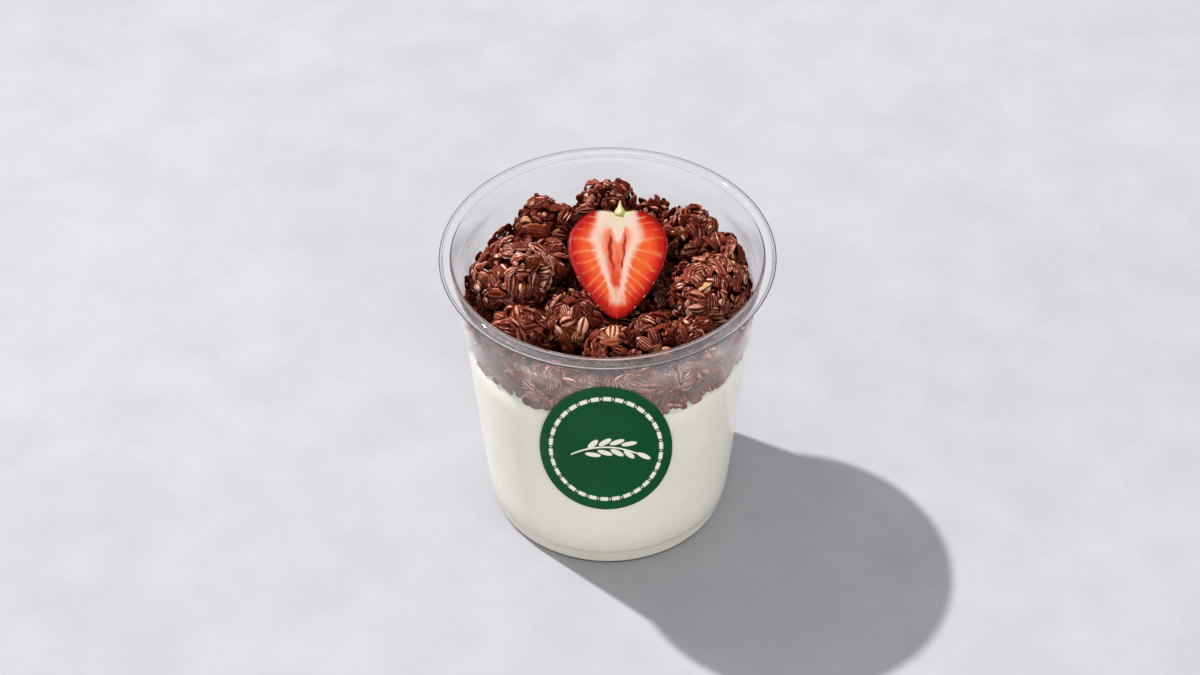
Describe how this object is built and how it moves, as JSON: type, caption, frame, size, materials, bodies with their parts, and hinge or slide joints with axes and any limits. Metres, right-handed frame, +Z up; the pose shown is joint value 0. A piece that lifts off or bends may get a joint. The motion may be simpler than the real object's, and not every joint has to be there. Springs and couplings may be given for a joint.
{
  "type": "yogurt parfait",
  "caption": "Clear plastic pot of yogurt under a heaped layer of chocolate granola clusters, topped with half a strawberry, with an oval sticker on the front.",
  "frame": {"origin": "centre of the ring that the pot stands on, at floor level", "axes": "+Z up along the pot's axis; the sticker faces -Y; +X is to the right of someone looking at the sticker"},
  "size_m": [0.098, 0.098, 0.096],
  "materials": {
    "clear_plastic": "clear, thin and glossy",
    "yogurt": "smooth and creamy",
    "chocolate_granola": "baked oat flakes with a thin cocoa glaze",
    "strawberry": "moist cut flesh and shiny skin",
    "strawberry_stalk": "soft yellow-green",
    "green_sticker": "matt printed paper"
  },
  "bodies": {
    "root": {"pot": "clear_plastic", "yogurt": "yogurt", "granola_bed": "chocolate_granola", "cluster_back": "chocolate_granola", "cluster_back_left": "chocolate_granola", "cluster_left": "chocolate_granola", "cluster_right": "chocolate_granola", "cluster_back_right": "chocolate_granola", "cluster_behind_berry": "chocolate_granola", "cluster_far_right": "chocolate_granola", "cluster_front_left": "chocolate_granola", "cluster_front_middle_left": "chocolate_granola", "cluster_front": "chocolate_granola", "cluster_front_middle_right": "chocolate_granola", "cluster_front_right": "chocolate_granola", "cluster_beside_berry": "chocolate_granola", "strawberry_half": "strawberry", "strawberry_stalk": "strawberry_stalk", "sticker": "green_sticker"}
  },
  "joints": []
}
